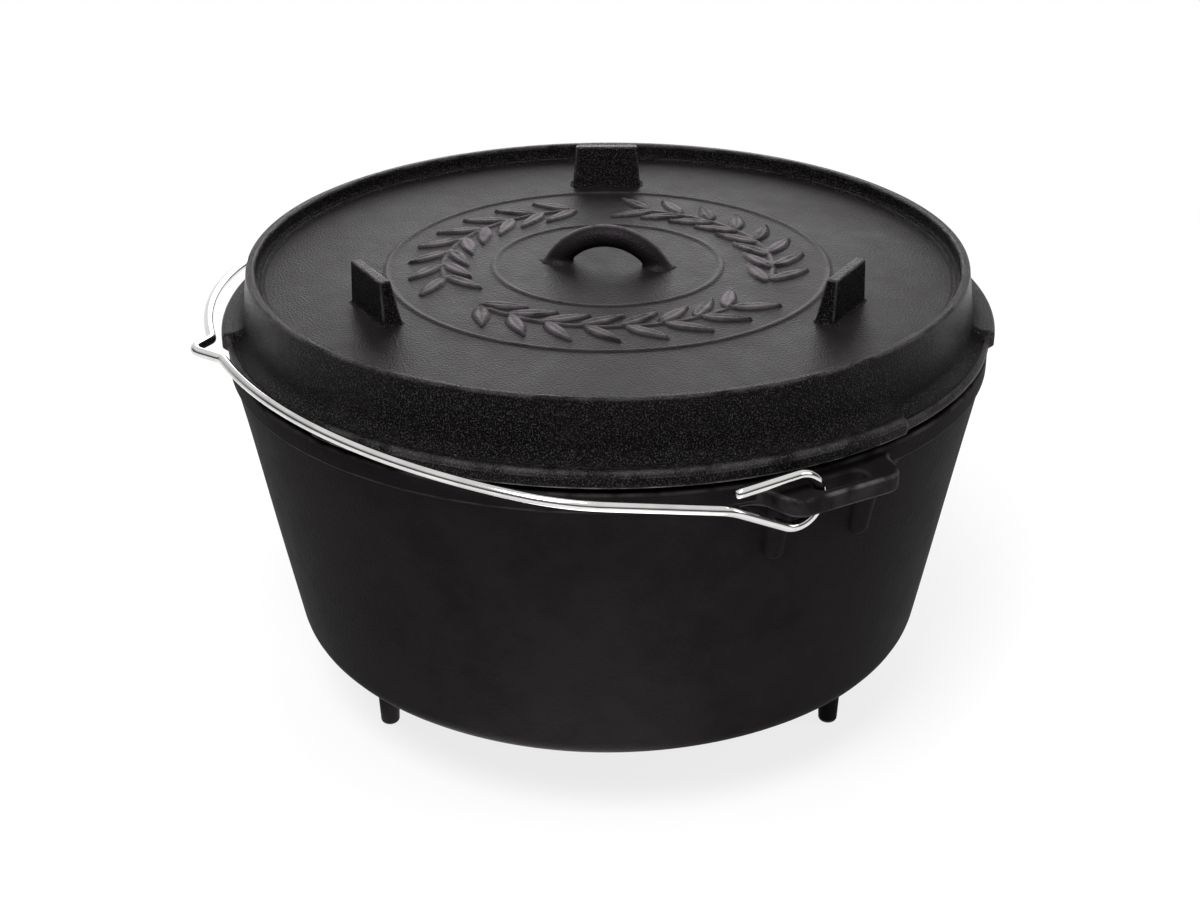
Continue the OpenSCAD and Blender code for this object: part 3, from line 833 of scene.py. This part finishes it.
studio = dict(
    lamps=(  # name, metres to the right, towards the camera and up, height aimed at, width, depth, watts
        ("back", -0.01, -0.9, 0.52, 0.15, 0.8, 0.8, 4.6),
        ("top", 0.0, 0.35, 1.6, 0.15, 0.5, 0.5, 8),
        ("key", -0.35, 1.1, 1.7, 0.15, 0.8, 0.8, 38),
        ("fill", 1.7, 0.4, 0.9, 0.15, 0.8, 0.8, 6),
        ("bounce", 0.01, 0.25, 0.005, 9, 0.54, 0.12, 0.38),
    ),
    world=0.3, dim=0.92, dimFront=(-0.9, -0.2), dimHigh=(0.2, 0.7),
    floor=(0.86, 0.86, 0.86, 1), floorRough=0.9, floorSize=6, floorWhite=0.8, floorFade=(0.4, 1.2),
    floorDim=0.7, floorNear=(0.2, 0.5),
)


def seenWhite(tone):
    # 1 for rays from the camera and for reflections, which see a white surround
    path = [tone.node("LightPath", out=name) for name in ("Is Camera Ray", "Is Glossy Ray", "Is Transmission Ray")]
    return tone.maths("MINIMUM", path[0] + path[1] + path[2], 1.0)


def makeStage():
    p = studio
    world = bpy.data.worlds.new("studio")
    bpy.context.scene.world = world
    world.use_nodes = True
    world.node_tree.nodes.clear()
    tone = Tone(world.node_tree)
    way = tone.node("TexCoord", out="Generated")
    front = tone.node("VectorMath", {"operation": "DOT_PRODUCT"}, {0: way, 1: tuple(viewBack)}, out="Value")
    high = tone.node("VectorMath", {"operation": "DOT_PRODUCT"}, {0: way, 1: (0, 0, 1)}, out="Value")
    glossy = tone.node("LightPath", out="Is Glossy Ray")
    dim = front.between(*p["dimFront"]) * (1 - high.between(*p["dimHigh"])) * glossy
    strength = p["world"] + seenWhite(tone) * (1 - p["world"]) - dim * p["dim"]
    background = tone.node("Background", {}, {"Color": (1, 1, 1, 1), "Strength": strength})
    tone.node("OutputWorld", {}, {"Surface": background})
    for name, right, back, up, aim, width, depth, watts in p["lamps"]:
        lamp = bpy.data.lights.new(name, "AREA")
        lamp.shape, lamp.size, lamp.size_y, lamp.energy = "ELLIPSE", width, depth, watts
        place = viewRight * right + viewBack * back + np.array([0, 0, up])
        back = unit(place - np.array([0, 0, aim]))
        side = unit(np.cross((0, 0, 1), back)) if abs(back[2]) < 0.999 else np.array([1.0, 0, 0])
        matrix = np.eye(4)
        matrix[:3, :4] = np.stack([side, np.cross(back, side), back, place], -1)
        holder = bpy.data.objects.new(name, lamp)
        holder.matrix_world = Matrix(matrix.tolist())
        holder.visible_camera = False
        bpy.context.scene.collection.objects.link(holder)
    material, tone = newFinish("pale_floor")
    paint = tone.node("BsdfPrincipled", {}, {"Base Color": p["floor"], "Roughness": p["floorRough"]})
    glow = tone.node("Emission", {}, {"Color": (1, 1, 1, 1), "Strength": 1.0})
    place = tone.node("TexCoord", out="Object")
    front = tone.node("VectorMath", {"operation": "DOT_PRODUCT"}, {0: place, 1: tuple(viewBack)}, out="Value")
    away = tone.node("VectorMath", {"operation": "LENGTH"}, {0: place}, out="Value")
    glossy = tone.node("LightPath", out="Is Glossy Ray")
    far = away.between(*p["floorNear"]) * front.between(*p["dimFront"]) * glossy
    white = p["floorWhite"] + away.between(*p["floorFade"]) * (1 - p["floorWhite"])
    share = seenWhite(tone) * white - far * p["floorDim"]
    mixed = tone.node("MixShader", {}, {0: share, 1: paint, 2: glow})
    tone.node("OutputMaterial", {}, {"Surface": mixed})
    half = p["floorSize"] / 2
    mesh = bpy.data.meshes.new("floor")
    mesh.from_pydata([(-half, -half, 0), (half, -half, 0), (half, half, 0), (-half, half, 0)], [], [(0, 1, 2, 3)])
    mesh.materials.append(material)
    floor = bpy.data.objects.new("floor", mesh)
    bpy.context.scene.collection.objects.link(floor)
    bpy.context.scene.view_settings.view_transform = "Standard"


makeStage()
